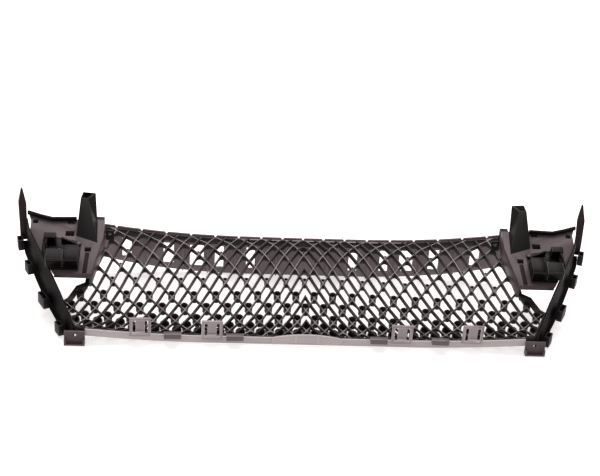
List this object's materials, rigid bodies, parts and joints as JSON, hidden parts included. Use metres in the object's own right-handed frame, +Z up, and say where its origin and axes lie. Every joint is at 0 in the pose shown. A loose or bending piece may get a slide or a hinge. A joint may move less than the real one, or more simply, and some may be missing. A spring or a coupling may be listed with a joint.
{
  "type": "front grille",
  "caption": "Car front grille insert: bowed lattice of thin blades in upright side and edge walls, with corner plates, posts, sensors and snap catches.",
  "frame": {"origin": "middle of the bounding box in plan, on the surface that the part lies on", "axes": "+X across the car, +Y from the narrow edge to the wide edge, +Z up, towards the car's rear, as it lies on its front face"},
  "size_m": [0.999, 0.2502, 0.158],
  "materials": {
    "satin_black": "satin moulded black",
    "brown_black": "satin moulded brown-black",
    "pale_grey": "satin pale grey",
    "warm_grey": "satin warm grey",
    "gloss_black": "gloss black",
    "screw_steel": "dark zinc",
    "pin_brass": "bright"
  },
  "bodies": {
    "grille": {"box_tab_1_left": "warm_grey", "box_tab_1_right": "warm_grey", "box_tab_2_left": "warm_grey", "box_tab_2_right": "warm_grey", "catch_frame_1_left": "pale_grey", "catch_frame_1_right": "pale_grey", "catch_frame_2_left": "pale_grey", "catch_frame_2_right": "pale_grey", "centre_trim_left": "pale_grey", "centre_trim_middle": "pale_grey", "centre_trim_right": "pale_grey", "corner_bracket_left": "satin_black", "corner_bracket_right": "satin_black", "corner_plate_left": "brown_black", "corner_plate_right": "brown_black", "end_blade_left": "brown_black", "end_blade_right": "brown_black", "mesh_panel": "satin_black", "mounting_ear_left": "satin_black", "mounting_ear_right": "satin_black", "narrow_edge_flange": "pale_grey", "pillar_block_left": "satin_black", "pillar_block_right": "satin_black", "pillar_left": "satin_black", "pillar_right": "satin_black", "rail_clip_1_left": "satin_black", "rail_clip_1_right": "satin_black", "rail_clip_2_left": "satin_black", "rail_clip_2_right": "satin_black", "rail_clip_3_left": "satin_black", "rail_clip_3_right": "satin_black", "rail_clip_4_left": "satin_black", "rail_clip_4_right": "satin_black", "sensor_arm_left": "gloss_black", "sensor_arm_right": "gloss_black", "sensor_base_left": "gloss_black", "sensor_base_right": "gloss_black", "sensor_cap_left": "gloss_black", "sensor_cap_right": "gloss_black", "sensor_case_left": "gloss_black", "sensor_case_right": "gloss_black", "sensor_pins_left": "pin_brass", "sensor_pins_right": "pin_brass", "sensor_screws_left": "screw_steel", "sensor_screws_right": "screw_steel", "sensor_socket_left": "gloss_black", "sensor_socket_right": "gloss_black", "sensor_stay_left": "gloss_black", "sensor_stay_right": "gloss_black", "side_rail_left": "satin_black", "side_rail_right": "satin_black", "wide_edge_wall": "brown_black"},
    "snap_tongue_1_right_body": {"snap_tongue_1_right": "pale_grey"},
    "snap_tongue_2_right_body": {"snap_tongue_2_right": "pale_grey"},
    "snap_tongue_1_left_body": {"snap_tongue_1_left": "pale_grey"},
    "snap_tongue_2_left_body": {"snap_tongue_2_left": "pale_grey"}
  },
  "joints": [
    {"name": "tongue_1_right_flex", "type": "hinge", "parent": "grille", "child": "snap_tongue_1_right_body", "pos_m": [0.276, -0.11354, 0.0445], "axis": [0.9993, -0.0376, 0], "range_deg": [-5, 10], "stiffness_Nm_per_rad": 0.02},
    {"name": "tongue_2_right_flex", "type": "hinge", "parent": "grille", "child": "snap_tongue_2_right_body", "pos_m": [0.158, -0.11011, 0.03946], "axis": [0.9998, -0.0205, 0], "range_deg": [-5, 10], "stiffness_Nm_per_rad": 0.02},
    {"name": "tongue_1_left_flex", "type": "hinge", "parent": "grille", "child": "snap_tongue_1_left_body", "pos_m": [-0.276, -0.11354, 0.0445], "axis": [0.9993, 0.0376, 0], "range_deg": [-5, 10], "stiffness_Nm_per_rad": 0.02},
    {"name": "tongue_2_left_flex", "type": "hinge", "parent": "grille", "child": "snap_tongue_2_left_body", "pos_m": [-0.158, -0.11011, 0.03946], "axis": [0.9998, 0.0205, 0], "range_deg": [-5, 10], "stiffness_Nm_per_rad": 0.02}
  ]
}
